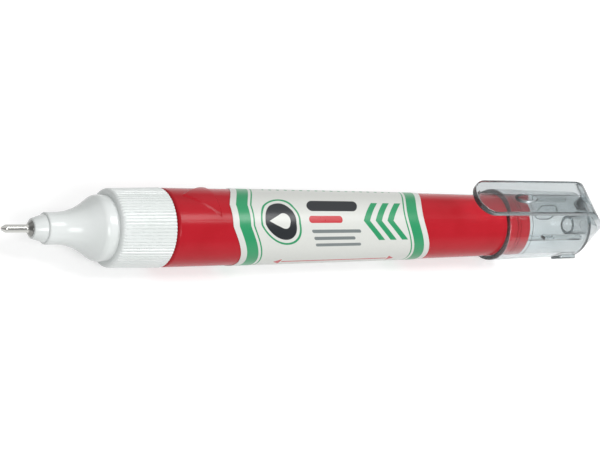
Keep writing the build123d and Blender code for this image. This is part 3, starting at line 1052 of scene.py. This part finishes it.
@dataclass
class Collar:
    """White ring nut with fine ribs along the pen."""

    bench: Bench
    front_radius: float = 7.95
    rear_radius: float = 8.18
    hole_radius: float = 6.6
    hole_edge: float = 0.02
    skirt_radius: float = 7.12
    wall: float = 1.5
    edge: float = 0.9
    rear_edge: float = 0.12
    ribs: int = 72
    rib_depth: float = 0.22
    groove_share: float = 0.53
    rib_front: float = 0.1
    rib_fade: float = 0.6
    steps_per_rib: int = 8

    def build(self, material: Material) -> None:
        """Make the collar."""
        front, rear = self.bench.axis.span("collar")
        start = front + self.rib_front
        corners = [
            Corner(front, self.hole_radius, self.hole_edge),
            Corner(front, self.front_radius, self.edge),
            Corner(rear, self.rear_radius, self.rear_edge),
            Corner(rear, self.skirt_radius),
            Corner(front + self.wall, self.skirt_radius),
            Corner(front + self.wall, self.hole_radius),
        ]
        mesh = self.bench.turn(corners, self.ribs * self.steps_per_rib)
        pitch = 2 * math.pi / self.ribs
        for vertex in mesh.verts:
            along, y, z = vertex.co
            radius = math.hypot(y, z)
            if radius > self.skirt_radius + self.rib_depth and along >= start:
                off_groove = abs(math.remainder(math.atan2(y, z), pitch)) / (pitch / 2)
                depth = self.rib_depth * max(0.0, 1 - off_groove / self.groove_share)
                fade = min(1.0, (along - start) / self.rib_fade)
                vertex.co.yz *= 1 - depth * fade / radius
        ring = self.bench.object("collar_ring", mesh)
        self.bench.hand_over(ring, material, "pen", "white_plastic", ["collar"])


@dataclass
class Nozzle:
    """White trumpet-shaped nozzle with a round lip, and the tapered bush in its end."""

    bench: Bench
    neck_radius: float = 3.2
    bore_radius: float = 2.32
    bore_length: float = 5.0
    neck_edge: float = 0.35
    trumpet_angle: float = 35.0
    trumpet_rounding: float = 9.8
    lip_radius: float = 6.65
    lip_length: float = 2.43
    lip_gap: float = 0.004
    lip_front_rounding: float = 1.9
    lip_rear_rounding: float = 0.02
    waist_depth: float = 0.5
    flange_from_collar: float = 1.5
    flange_length: float = 1.2
    flange_radius: float = 7.1
    plug_radius: float = 5.5
    plug_wall: float = 0.9
    bush_front_radius: float = 2.0
    bush_cone_radius: float = 2.8
    bush_spigot_radius: float = 2.3
    bush_edge: float = 0.25
    bush_cone_edge: float = 0.1
    spring_bore: float = 1.6
    shank_bore: float = 1.32
    steps: int = 160

    def build(self, material: Material) -> None:
        """Make the nozzle and its bush."""
        axis = self.bench.axis
        front, rear = axis.span("nozzle")
        collar = axis.span("collar")[0]
        lip_end = collar - self.lip_gap
        lip = lip_end - self.lip_length
        flare = (self.lip_radius - self.neck_radius) / math.tan(math.radians(self.trumpet_angle))
        flange = collar + self.flange_from_collar
        plug_bore = self.plug_radius - self.plug_wall
        waist = self.lip_radius - self.waist_depth
        corners = [
            Corner(front, self.bore_radius),
            Corner(front, self.neck_radius, self.neck_edge),
            Corner(lip - flare, self.neck_radius, self.trumpet_rounding),
            Corner(lip, self.lip_radius, self.lip_front_rounding),
            Corner(lip_end, self.lip_radius, self.lip_rear_rounding),
            Corner(lip_end, waist),
            Corner(flange, waist),
            Corner(flange, self.flange_radius),
            Corner(flange + self.flange_length, self.flange_radius),
            Corner(flange + self.flange_length, self.plug_radius),
            Corner(rear, self.plug_radius),
            Corner(rear, plug_bore),
            Corner(lip_end, plug_bore),
            Corner(front + self.bore_length, self.bore_radius),
        ]
        cone = self.bench.object("nozzle_cone", self.bench.turn(corners, self.steps))
        self.bench.hand_over(cone, material, "pen", "white_plastic", ["nozzle"])
        bush_front, bush_rear = axis.span("tip_holder")
        shank = axis.span("metal_tip")[1]
        corners = [
            Corner(bush_front, self.shank_bore),
            Corner(bush_front, self.bush_front_radius, self.bush_edge),
            Corner(front, self.bush_cone_radius, self.bush_cone_edge),
            Corner(front, self.bush_spigot_radius),
            Corner(bush_rear, self.bush_spigot_radius),
            Corner(bush_rear, self.spring_bore),
            Corner(shank, self.spring_bore),
            Corner(shank, self.shank_bore),
        ]
        bush = self.bench.object("tip_bush", self.bench.turn(corners, self.steps))
        self.bench.hand_over(bush, material, "pen", "white_plastic", ["tip_holder"])


@dataclass
class MetalTip:
    """Turned metal tube with a swaged rim and a flared root, and the ball in its end."""

    bench: Bench
    tube_radius: float = 0.8
    bore_radius: float = 0.5
    nose_radius: float = 0.35
    nose_length: float = 0.8
    rim_edge: float = 0.02
    nose_edge: float = 0.06
    tube_rounding: float = 0.5
    flare_radius: float = 1.6
    flare_length: float = 0.95
    flare_rim: float = 0.12
    flare_front_edge: float = 0.1
    flare_rear_edge: float = 0.05
    shank_radius: float = 1.3
    rim_clearance: float = 0.015
    ball_clearance: float = 0.04
    chamber_length: float = 1.0
    steps: int = 96

    def build(self, tube_material: Material, ball_material: Material) -> None:
        """Make the tube and the ball."""
        axis = self.bench.axis
        ball_front, ball_rear = axis.span("tip_ball")
        front, rear = axis.span("metal_tip")
        root = axis.span("tip_holder")[0]
        ball = (ball_rear - ball_front) / 2
        reach = front - ball_front
        rim = math.sqrt(ball**2 - (ball - reach) ** 2) + self.rim_clearance
        chamber = ball + self.ball_clearance
        chamber_end = ball_rear + self.chamber_length
        corners = [
            Corner(front, rim, self.rim_edge),
            Corner(front, self.nose_radius, self.nose_edge),
            Corner(front + self.nose_length, self.tube_radius, self.tube_rounding),
            Corner(root - self.flare_length, self.tube_radius, self.tube_rounding),
            Corner(root - self.flare_rim, self.flare_radius, self.flare_front_edge),
            Corner(root, self.flare_radius, self.flare_rear_edge),
            Corner(root, self.shank_radius),
            Corner(rear, self.shank_radius),
            Corner(rear, self.bore_radius),
            Corner(chamber_end, self.bore_radius),
            Corner(chamber_end, chamber),
            Corner(ball_front + ball, chamber),
        ]
        tube = self.bench.object("tip_tube", self.bench.turn(corners, self.steps))
        self.bench.hand_over(tube, tube_material, "pen", "tip_metal", ["metal_tip"])
        mesh = self.bench.ball((ball, ball, ball))
        self.bench.swing(mesh, 90.0, "Y")
        bmesh.ops.translate(mesh, vec=(ball_front + ball, 0, 0), verts=mesh.verts)
        sphere = self.bench.object("writing_ball", mesh)
        self.bench.hand_over(sphere, ball_material, "valve", "ball_steel", ["tip_ball"])


@dataclass
class ValveSpring:
    """Coil spring of round wire behind the push rod's head. The real spring shortens as the valve is pressed
    in; this piece keeps one length.
    """

    JOINT: ClassVar[str] = "valve_press"

    bench: Bench
    travel: float
    wire_radius: float = 0.13
    coil_radius: float = 0.8
    turns: int = 7
    steps_per_turn: int = 32
    wire_sides: int = 12

    def build(self, material: Material) -> None:
        """Wind the wire."""
        front, rear = self.bench.axis.span("valve_spring")
        steps = self.turns * self.steps_per_turn
        advance = (rear - front - 2 * self.wire_radius) / steps
        mesh = bmesh.new()
        bmesh.ops.create_circle(mesh, cap_ends=True, segments=self.wire_sides, radius=self.wire_radius)
        bmesh.ops.translate(mesh, vec=(front + self.wire_radius, self.coil_radius, 0), verts=mesh.verts)
        bmesh.ops.spin(
            mesh,
            geom=mesh.verts[:] + mesh.edges[:] + mesh.faces[:],
            cent=(0, 0, 0),
            axis=(1, 0, 0),
            dvec=(advance, 0, 0),
            angle=2 * math.pi * self.turns,
            steps=steps,
        )
        self.bench.close(mesh)
        coil = self.bench.object("spring_coil", mesh)
        self.bench.hand_over(coil, material, "pen", "rod_steel", ["valve_spring"])
        1 - self.travel / (rear - front)
        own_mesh(coil)


@dataclass
class Cap:
    """Clear cap on the tail: one moulding with its clip, feet and inner seal tube."""

    SHARP: ClassVar[float] = math.radians(32)
    FLAT: ClassVar[float] = math.radians(0.02)
    SLIVER: ClassVar[float] = 1e-6
    RIM: ClassVar[float] = math.radians(60)
    NEAR: ClassVar[float] = 0.01

    bench: Bench
    overhang: float = 11.6
    bore_radius: float = 7.162
    wall: float = 0.95
    draft: float = 0.55
    cone_length: float = 10.9
    nose_radius: float = 0.7
    mouth_edge: float = 0.7
    shoulder_rounding: float = 1.2
    nose_rounding: float = 0.5
    tube_radius: float = 2.35
    tube_bore: float = 1.6
    tube_from_apex: float = 11.9
    tube_depth: float = 6.1
    tube_edge: float = 0.15
    tube_root_rounding: float = 0.3
    tube_end_rounding: float = 0.4
    stop_from_mouth: float = 7.75
    stop_height: float = 0.22
    stop_edge: float = 0.1
    fins: int = 3
    fin_from_stop: float = 4.6
    fin_from_cone: float = 1.8
    fin_width: float = 0.8
    fin_height: float = 1.3
    clip_thickness: float = 1.5
    clip_width: float = 9.0
    clip_end_rounding: float = 4.4
    clip_end_steps: int = 14
    clip_nose_width: float = 3.2
    clip_setback: float = 1.2
    clip_rise: float = 0.2
    clip_edge: float = 0.3
    clip_edge_steps: int = 3
    fold_from_cone: float = 3.2
    fold_rounding: float = 7.0
    fold_steps: int = 10
    groove_width: float = 0.65
    groove_depth: float = 0.1
    groove_from_end: float = 1.3
    web_thickness: float = 2.4
    web_length: float = 1.6
    web_past_cone: float = 3.0
    web_sink: float = 1.9
    web_edge: float = 1.08
    web_edge_steps: int = 5
    nub_from_mouth: float = 0.3
    nub_length: float = 7.0
    nub_width: float = 2.6
    nub_sink: float = 0.1
    foot_turn: float = 120.0
    foot_length: float = 6.4
    foot_width: float = 4.2
    foot_height: float = 0.6
    foot_sink: float = 1.14
    foot_end_rounding: float = 2.058
    foot_end_steps: int = 8
    foot_edge: float = 0.35
    foot_edge_steps: int = 4
    foot_from_cone: float = 2.2
    steps: int = 144

    def __post_init__(self) -> None:
        """Find the mouth, the cone and the apex in the frame."""
        front, self.apex = self.bench.axis.span("cap")
        self.mouth = front + self.overhang
        self.cone = self.apex - self.cone_length
        self.mouth_radius = self.bore_radius + self.wall
        self.shoulder_radius = self.mouth_radius - self.draft
        self.slope = (self.shoulder_radius - self.nose_radius) / self.cone_length
        self.clip_top = self.bench.axis.top("cap")

    def outside(self) -> BMesh:
        """Solid of the cap's outside without the clip."""
        corners = [
            Corner(self.mouth, 0),
            Corner(self.mouth, self.mouth_radius, self.mouth_edge),
            Corner(self.cone, self.shoulder_radius, self.shoulder_rounding),
            Corner(self.apex, self.nose_radius, self.nose_rounding),
            Corner(self.apex, 0),
        ]
        return self.bench.turn(corners, self.steps, closed=False)

    def hollow(self) -> BMesh:
        """Solid of the hollow: past a step that stops the tail, round the seal tube and into its bore."""
        deep = self.shoulder_radius - self.wall
        inner_apex = self.apex - self.wall * math.hypot(1, self.slope) / self.slope
        inner_cone = inner_apex - (deep - self.nose_radius) / self.slope
        tube_root = inner_apex - (self.tube_radius - self.nose_radius) / self.slope
        tube = self.apex - self.tube_from_apex
        before = self.mouth - self.wall
        draft = self.draft / (self.cone - self.mouth)
        stop = self.mouth + self.stop_from_mouth
        step = self.bore_radius - draft * self.stop_from_mouth
        corners = [
            Corner(before, 0),
            Corner(before, self.bore_radius + draft * self.wall),
            Corner(stop, step, self.stop_edge),
            Corner(stop + self.stop_height, step - self.stop_height, self.stop_edge),
            Corner(inner_cone, deep, self.shoulder_rounding),
            Corner(tube_root, self.tube_radius, self.tube_root_rounding),
            Corner(tube, self.tube_radius, self.tube_edge),
            Corner(tube, self.tube_bore, self.tube_edge),
            Corner(tube + self.tube_depth, self.tube_bore, self.tube_end_rounding),
            Corner(tube + self.tube_depth, 0),
        ]
        return self.bench.turn(corners, self.steps, closed=False)

    def fold(self) -> Triple:
        """Station of the clip's fold, the angle that it turns through and the station of its end."""
        station = self.cone - self.fold_from_cone
        end = self.apex - self.clip_setback
        end_height = self.nose_radius + self.clip_setback * self.slope + self.clip_rise
        return station, math.atan2(self.clip_top - end_height, end - station), end

    def bent(self, along: float, depth: float) -> Span:
        """Place of a point of the flat plate once it is folded.

        Args:
            along: its station on the plate's top.
            depth: how far it lies under the top.

        Returns:
            Its station and its height over the axis.
        """
        station, turn, _ = self.fold()
        tangent = self.fold_rounding * math.tan(turn / 2)
        start = station - tangent
        finish = station + tangent * math.cos(turn)
        lean = 0.0
        height = self.clip_top
        if along > finish:
            lean = turn
            height -= (along - station) * math.tan(turn)
        elif along > start:
            lean = math.asin((along - start) / self.fold_rounding)
            height -= self.fold_rounding * (1 - math.cos(lean))
        return along - depth * math.sin(lean), height - depth * math.cos(lean)

    def clip(self) -> BMesh:
        """Flat plate with a round free end, folded down along the cone."""
        mesh = bmesh.new()
        free = self.mouth - self.overhang
        station, turn, end = self.fold()
        half = self.clip_width / 2
        nose = self.clip_nose_width / 2
        plan = [(free, half), (self.cone, half), (end, nose), (end, -nose), (self.cone, -half), (free, -half)]
        spots = [mesh.verts.new((x, y, 0)) for x, y in plan]
        mesh.faces.new(spots)
        ends = [spots[0], spots[-1]]
        self.bench.round_off(mesh, ends, self.clip_end_rounding, self.clip_end_steps, "VERTICES")
        reach = self.fold_rounding * math.tan(turn / 2)
        for i in range(self.fold_steps + 1):
            self.bench.cut(mesh, (station + reach * (2 * i / self.fold_steps - 1), 0, 0), (1, 0, 0))
        self.bench.raise_faces(mesh, mesh.faces[:], (0, 0, self.clip_thickness))
        self.bench.close(mesh)
        for vertex in mesh.verts:
            along, height = self.bent(vertex.co.x, self.clip_thickness - vertex.co.z)
            vertex.co = (along, vertex.co.y, height)
        rims = [edge for edge in mesh.edges if edge.calc_face_angle(0.0) > self.RIM]
        self.bench.round_off(mesh, rims, self.clip_edge, self.clip_edge_steps, "EDGES")
        self.bench.close(mesh)
        return mesh

    def groove(self) -> BMesh:
        """Tool for the shallow groove along the clip's top, with sides that lean out at 45 degrees."""
        front = self.mouth - self.overhang + self.groove_from_end
        rear = self.fold()[0]
        height = 2 * self.groove_depth
        middle = ((front + rear) / 2, 0, self.clip_top)
        mesh = self.bench.block((rear - front, self.groove_width, height), middle)
        brim = [vert for vert in mesh.verts if vert.co.z > self.clip_top]
        bmesh.ops.scale(mesh, vec=(1, 1 + 2 * height / self.groove_width, 1), verts=brim)
        return mesh

    def fin(self, turn: float) -> BMesh:
        """Low fin along the inside.

        Args:
            turn: its angle from the clip, in degrees.

        Returns:
            The fin's mesh.
        """
        front = self.mouth + self.stop_from_mouth + self.fin_from_stop
        rear = self.cone - self.fin_from_cone
        outer = self.shoulder_radius - self.wall / 2
        height = self.fin_height + self.wall / 2
        middle = ((front + rear) / 2, 0, outer - height / 2)
        mesh = self.bench.block((rear - front, self.fin_width, height), middle)
        self.bench.swing(mesh, turn, "X")
        return mesh

    def web(self) -> BMesh:
        """Short wall under the clip's root."""
        mesh = bmesh.new()
        fold = self.fold()[0]
        front = fold - self.web_length
        under = self.clip_top - self.clip_thickness / 2
        inside = self.shoulder_radius - self.web_sink
        half = self.web_thickness / 2
        side = [(front, inside), (front, under), (fold, under), (self.cone + self.web_past_cone, inside)]
        face = mesh.faces.new([mesh.verts.new((x, -half, z)) for x, z in side])
        self.bench.raise_faces(mesh, [face], (0, self.web_thickness, 0))
        self.bench.close(mesh)
        front_edges = [e for e in mesh.edges if all(abs(v.co.x - front) < self.NEAR for v in e.verts)]
        uprights = [e for e in front_edges if abs(e.verts[0].co.z - e.verts[1].co.z) > self.NEAR]
        self.bench.round_off(mesh, uprights, self.web_edge, self.web_edge_steps, "EDGES")
        return mesh

    def nub(self) -> BMesh:
        """Oval nub under the clip that holds a pocket's edge."""
        half = self.nub_length / 2
        under = self.clip_top - self.clip_thickness
        mesh = self.bench.ball((half, self.nub_width / 2, self.nub_width / 2))
        middle = (self.mouth + self.nub_from_mouth + half, 0, under + self.nub_sink)
        bmesh.ops.translate(mesh, vec=middle, verts=mesh.verts)
        return mesh

    def foot(self, turn: float) -> BMesh:
        """Low rounded pad on the cap's shoulder.

        Args:
            turn: its angle from the clip, in degrees.

        Returns:
            The pad's mesh.
        """
        mesh = bmesh.new()
        half = self.foot_width / 2
        reach = self.foot_length / 2
        plan = [(-reach, -half), (reach, -half), (reach, half), (-reach, half)]
        spots = [mesh.verts.new((x, y, 0)) for x, y in plan]
        mesh.faces.new(spots)
        self.bench.round_off(mesh, spots, self.foot_end_rounding, self.foot_end_steps, "VERTICES")
        inside = self.shoulder_radius - self.foot_sink
        outside = self.shoulder_radius + self.foot_height
        bmesh.ops.translate(mesh, vec=(0, 0, inside), verts=mesh.verts)
        self.bench.raise_faces(mesh, mesh.faces[:], (0, 0, outside - inside))
        self.bench.close(mesh)
        rim = [e for e in mesh.edges if all(v.co.z > outside - self.NEAR for v in e.verts)]
        self.bench.round_off(mesh, rim, self.foot_edge, self.foot_edge_steps, "EDGES")
        bmesh.ops.translate(mesh, vec=(self.cone - self.foot_from_cone, 0, 0), verts=mesh.verts)
        self.bench.swing(mesh, turn, "X")
        return mesh

    def build(self, material: Material) -> None:
        """Join the solids of the outside, take the hollow away and keep the result."""
        cap = self.bench.object("cap_moulding", self.outside())
        parts = [("clip", self.clip(), "UNION"), ("web", self.web(), "UNION"), ("nub", self.nub(), "UNION")]
        for turn in (-self.foot_turn, self.foot_turn):
            parts.append(("foot", self.foot(turn), "UNION"))
        parts.append(("hollow", self.hollow(), "DIFFERENCE"))
        parts.append(("groove", self.groove(), "DIFFERENCE"))
        for i in range(self.fins):
            parts.append(("fin", self.fin((i + 0.5) * 360 / self.fins), "UNION"))
        for name, mesh, operation in parts:
            self.combine(cap, self.bench.object(f"cap_{name}", mesh), operation)
        mesh = bmesh.new()
        mesh.from_mesh(cap.data)
        self.clean(mesh)
        for edge in mesh.edges:
            edge.smooth = edge.calc_face_angle(0.0) < self.SHARP
        mesh.to_mesh(cap.data)
        mesh.free()
        self.bench.hand_over(cap, material, "cap", "clear_plastic", ["cap"])

    def clean(self, mesh: BMesh) -> None:
        """Merge what the cuts split needlessly and take out slivers."""
        bmesh.ops.remove_doubles(mesh, verts=mesh.verts, dist=self.SLIVER)
        bmesh.ops.dissolve_limit(mesh, angle_limit=self.FLAT, verts=mesh.verts, edges=mesh.edges)
        bmesh.ops.triangulate(mesh, faces=[face for face in mesh.faces if len(face.verts) > 4])
        bmesh.ops.dissolve_degenerate(mesh, dist=self.SLIVER, edges=mesh.edges)

    @staticmethod
    def combine(cap: Object, tool: Object, operation: str) -> None:
        """Add a solid to the cap or take it away, and remove it from the scene."""
        step = cap.modifiers.new("combine", "BOOLEAN")
        step.object = tool
        step.operation = operation
        step.solver = "EXACT"
        Bench.settle(cap)
        bpy.data.objects.remove(tool)


@dataclass(frozen=True)
class PaleFloor(Finish):
    """Matt floor, lifted to the room's white for the rays that draw the picture."""

    name: str
    colour: Colour = (0.62, 0.62, 0.62)
    lift: float = 0.5

    def dress(self, tree: ShaderTree) -> None:
        """Fill the material's tree."""
        matt = tree.node("ShaderNodeBsdfDiffuse", {}, {"Color": self.colour})
        glow = tree.node("ShaderNodeEmission", {}, {"Color": FULL, "Strength": tree.seen() * self.lift})
        tree.surface(tree.node("ShaderNodeAddShader", {}, {0: matt, 1: glow}))


@dataclass(frozen=True)
class Lamp:
    """Soft rectangular lamp: its place, its width and length, in metres, and its power in watts."""

    name: str
    spot: Triple
    size: Span
    power: float

    def build(self, aim: Triple) -> None:
        """Hang the lamp so that it faces a point."""
        data = bpy.data.lights.new(self.name, "AREA")
        data.shape = "RECTANGLE"
        data.size, data.size_y = self.size
        data.energy = self.power
        lamp = put(self.name, data)
        lamp.location = self.spot
        lamp.rotation_mode = "QUATERNION"
        lamp.rotation_quaternion = (Vector(aim) - Vector(self.spot)).to_track_quat("-Z", "Y")


@dataclass(frozen=True)
class Studio:
    """Plain pale floor, soft light and a room that is bright overhead and dim at eye level.

    The softbox hangs behind the pen's middle, and the key is on the near side.
    """

    LAMPS: ClassVar[tuple[Lamp, ...]] = (
        Lamp("softbox", (0.27, -0.06, 0.62), (0.23, 0.27), 1.85),
        Lamp("key", (-0.09, -0.46, 0.5), (0.28, 0.28), 2.0),
    )

    aim: Triple = (0.0, 0.0, 0.01)
    floor_size: float = 1.6
    room_light: float = 0.42
    background: float = 1.0
    dim_level: float = 0.4
    dim_from: Span = (0.1, 0.22)
    ceiling_faces: Triple = (0.0, 0.45, 0.89)
    bright_from: Span = (0.55, 0.85)

    def build_world(self) -> None:
        """Room with a white horizon, a dim band and a bright sloping ceiling, and softer as a light."""
        world = bpy.data.worlds.new("studio_room")
        bpy.context.scene.world = world
        world.use_nodes = True
        tree = ShaderTree(world.node_tree)
        direction = tree.node("ShaderNodeTexCoord", {}, {}, "Generated")
        upward = tree.split(direction)[2]
        dot = {"operation": "DOT_PRODUCT"}
        overhead = tree.node("ShaderNodeVectorMath", dot, {0: direction, 1: self.ceiling_faces}, "Value")
        band = tree.between(upward, *self.dim_from) - tree.between(overhead, *self.bright_from)
        picture = self.background - band * (self.background - self.dim_level)
        strength = self.room_light + tree.seen() * (picture - self.room_light)
        room = tree.node("ShaderNodeBackground", {}, {"Color": FULL, "Strength": strength})
        tree.node("ShaderNodeOutputWorld", {}, {"Surface": room})

    def build_floor(self) -> None:
        """Pale floor that keeps the pen's shadow."""
        mesh = bmesh.new()
        bmesh.ops.create_grid(mesh, x_segments=2, y_segments=2, size=self.floor_size / 2)
        data = bpy.data.meshes.new("floor")
        mesh.to_mesh(data)
        mesh.free()
        data.materials.append(PaleFloor("pale_floor").material())
        floor = put("floor", data)

    def build(self) -> None:
        """Make the whole studio."""
        self.build_world()
        self.build_floor()
        for lamp in self.LAMPS:
            lamp.build(self.aim)


@dataclass(frozen=True)
class PhotoCamera:
    """Camera at the photograph's viewing angle, its lens given in pixels of the 600 by 450 picture."""

    lens_pixels: float = 1650.0
    picture_width: float = 600.0
    sensor: float = 36.0
    yaw: float = 34.85
    lean: float = 57.0
    roll: float = 0.33
    distance: float = 355.0
    aim_along: float = -10.24
    aim_below_centre: float = 1.66
    near: float = 0.01

    def build(self, axis: Axis) -> None:
        """Add the camera and make it the scene's own.

        Args:
            axis: the pen's axis, which the camera aims at.
        """
        yaw, lean, roll = (math.radians(angle) for angle in (self.yaw, self.lean, self.roll))
        across = Vector((0, -math.cos(lean), math.sin(lean)))
        back = across * math.cos(yaw) - Vector((math.sin(yaw), 0, 0))
        right = across * math.sin(yaw) + Vector((math.cos(yaw), 0, 0))
        up = back.cross(right)
        right, up = right * math.cos(roll) - up * math.sin(roll), up * math.cos(roll) + right * math.sin(roll)
        lift = self.aim_below_centre * self.distance / self.lens_pixels
        spot = Vector((self.aim_along, 0, axis.height)) + back * self.distance + up * lift
        data = bpy.data.cameras.new("photo_camera")
        data.sensor_fit = "HORIZONTAL"
        data.sensor_width = self.sensor
        data.lens = self.lens_pixels / self.picture_width * self.sensor
        data.clip_start = self.near
        camera = put("photo_camera", data)
        camera.matrix_world = Matrix.Translation(spot * MM) @ Matrix((right, up, back)).transposed().to_4x4()
        bpy.context.scene.camera = camera


class Inside:
    """Solids that the closed pen hides: they keep their own shape and get a finish."""

    def __init__(self, nodes: dict[str, Object]) -> None:
        """Keep the frame's solids."""
        self.nodes = nodes

    def dress(self, finishes: dict[str, Material]) -> None:
        """Give each named solid its material."""
        for name, material in finishes.items():
            self.nodes[name].material_slots[0].material = material
            LOG.info("%s: keeps its solid", name)


def main() -> None:
    """Build the pen and its studio."""
    logging.basicConfig(level=logging.INFO, format="%(name)s: %(message)s")
    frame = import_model()
    bpy.context.scene.view_settings.view_transform = "Standard"
    bench = Bench(Axis())

    red = MouldedPlastic(
        "red_plastic", srgb(182, 31, 43), srgb(174, 26, 37), roughness=0.16, shine=0.14, skin_depth=0.006
    ).material()
    white = MouldedPlastic(
        "white_plastic", srgb(228, 232, 231), srgb(222, 227, 225), roughness=0.14, shine=0.4, skin_depth=0.004
    ).material()
    # The tip's metal is painted darker from the start of its flare: painted shade at the root against the
    # bush.
    flare = bench.axis.span("tip_holder")[0] - MetalTip.flare_length
    steel = TurnedMetal(
        "turned_metal", (0.6, 0.6, 0.575), roughness=0.09, line_scale=9000.0, painted_shade_from=flare
    ).material()
    polished = TurnedMetal("polished_ball", (0.7, 0.7, 0.7), roughness=0.08, line_scale=300.0).material()
    drawn = TurnedMetal("drawn_wire", (0.6, 0.6, 0.6), roughness=0.2, line_scale=60.0).material()
    rubber = SoftRubber("pale_rubber", srgb(200, 198, 190)).material()
    clear = ClearMoulding("clear_plastic", bench.axis.height).material()

    barrel = Barrel(bench)
    label = Label(bench, barrel)
    barrel.build(red)
    label.build(PrintedFilm("printed_film", label.length).material())
    Collar(bench).build(white)
    Nozzle(bench).build(white)
    MetalTip(bench).build(steel, polished)
    press = next(joint for joint in frame["joints"] if joint["name"] == ValveSpring.JOINT)
    ValveSpring(bench, press["range_m"][1] / MM).build(drawn)
    Cap(bench).build(clear)
    Inside(frame["nodes"]).dress(
        {
            "push_rod": drawn,
            "spring_seat": white,
            "nozzle_gasket": rubber,
            "mixing_ball": polished,
        }
    )
    Studio().build()
    PhotoCamera().build(bench.axis)


if __name__ == "__main__":
    main()
